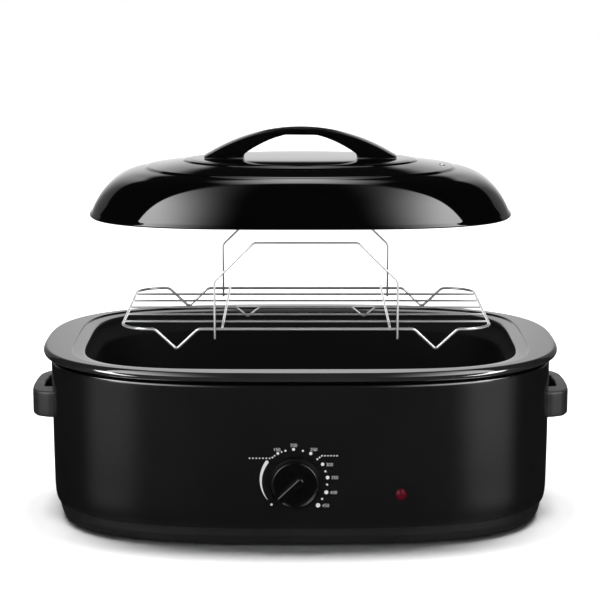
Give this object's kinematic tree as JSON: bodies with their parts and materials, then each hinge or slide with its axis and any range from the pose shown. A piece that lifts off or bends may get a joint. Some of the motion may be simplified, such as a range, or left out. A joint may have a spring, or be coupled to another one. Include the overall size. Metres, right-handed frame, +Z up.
{
  "type": "electric roaster oven",
  "caption": "Countertop electric roaster oven: heated steel housing with control knob and side handles, lift-out enamel pan, wire rack with lift handles and lift-off domed lid.",
  "frame": {"origin": "on the standing surface, under the middle of the housing", "axes": "+X to the right seen from the front, +Y towards the back, +Z up; the controls face -Y"},
  "size_m": [0.599, 0.4156, 0.4254],
  "materials": {
    "shell_paint": "semi-gloss black baked paint",
    "pan_enamel": "gloss black porcelain enamel",
    "lid_enamel": "gloss black porcelain enamel",
    "tray_plastic": "satin black",
    "handle_plastic": "satin black",
    "lid_handle_plastic": "gloss black",
    "knob_plastic": "gloss black",
    "rack_chrome": "bright plated wire",
    "aluminised_steel": "mill finish",
    "heater_steel": "dull",
    "zinc_steel": "zinc plated",
    "shield_aluminium": "mill finish",
    "copper_alloy": "drawn tube",
    "brass_screw": "plain",
    "glass_fibre": "needled mat",
    "foot_rubber": "matte black",
    "lead_silicone": "satin",
    "phenolic": "dark brown moulding",
    "white_plastic": "off-white moulding",
    "red_lens": "dark translucent red",
    "lamp_glass": "clear"
  },
  "bodies": {
    "housing": {"outer_shell": "shell_paint", "heat_well": "aluminised_steel", "heating_band": "heater_steel", "band_clamp": "zinc_steel", "insulation_blanket": "glass_fibre", "heat_shield": "shield_aluminium", "base_tray": "tray_plastic", "base_screws": "zinc_steel", "foot_pads": "foot_rubber", "side_handle_left": "handle_plastic", "side_handle_right": "handle_plastic", "side_handle_screws": "zinc_steel", "thermostat_bracket": "zinc_steel", "thermostat_body": "phenolic", "thermostat_screws": "zinc_steel", "sensor_bulb": "copper_alloy", "bulb_clip": "zinc_steel", "sensor_capillary": "copper_alloy", "indicator_lens": "red_lens", "lamp_holder": "white_plastic", "neon_lamp": "lamp_glass", "terminal_block": "white_plastic", "thermal_cutoff": "zinc_steel", "earth_screw": "brass_screw", "hook_up_leads": "lead_silicone", "cord_gland": "tray_plastic"},
    "knob": {"control_knob": "knob_plastic", "knob_clip": "zinc_steel", "thermostat_shaft": "zinc_steel"},
    "pan": {"roasting_pan": "pan_enamel"},
    "rack": {"rack_frame": "rack_chrome", "rack_long_wires": "rack_chrome", "rack_cross_wires": "rack_chrome", "rack_lift_handle_front": "rack_chrome", "rack_lift_handle_back": "rack_chrome"},
    "lid": {"lid_shell": "lid_enamel", "lid_handle": "lid_handle_plastic", "lid_handle_screws": "zinc_steel", "lid_handle_washers": "foot_rubber"}
  },
  "joints": [
    {"name": "knob_turn", "type": "hinge", "parent": "housing", "child": "knob", "pos_m": [-0.0055, -0.195, 0.0718], "axis": [0, 1, 0], "range_deg": [0, 267.6]},
    {"name": "pan_lift", "type": "slide", "parent": "housing", "child": "pan", "axis": [0, 0, 1], "range_m": [0, 0.18]},
    {"name": "rack_lift", "type": "slide", "parent": "pan", "child": "rack", "axis": [0, 0, 1], "range_m": [-0.1597, 0]},
    {"name": "lid_lift", "type": "slide", "parent": "rack", "child": "lid", "axis": [0, 0, 1], "range_m": [-0.0022, 0.16]}
  ]
}
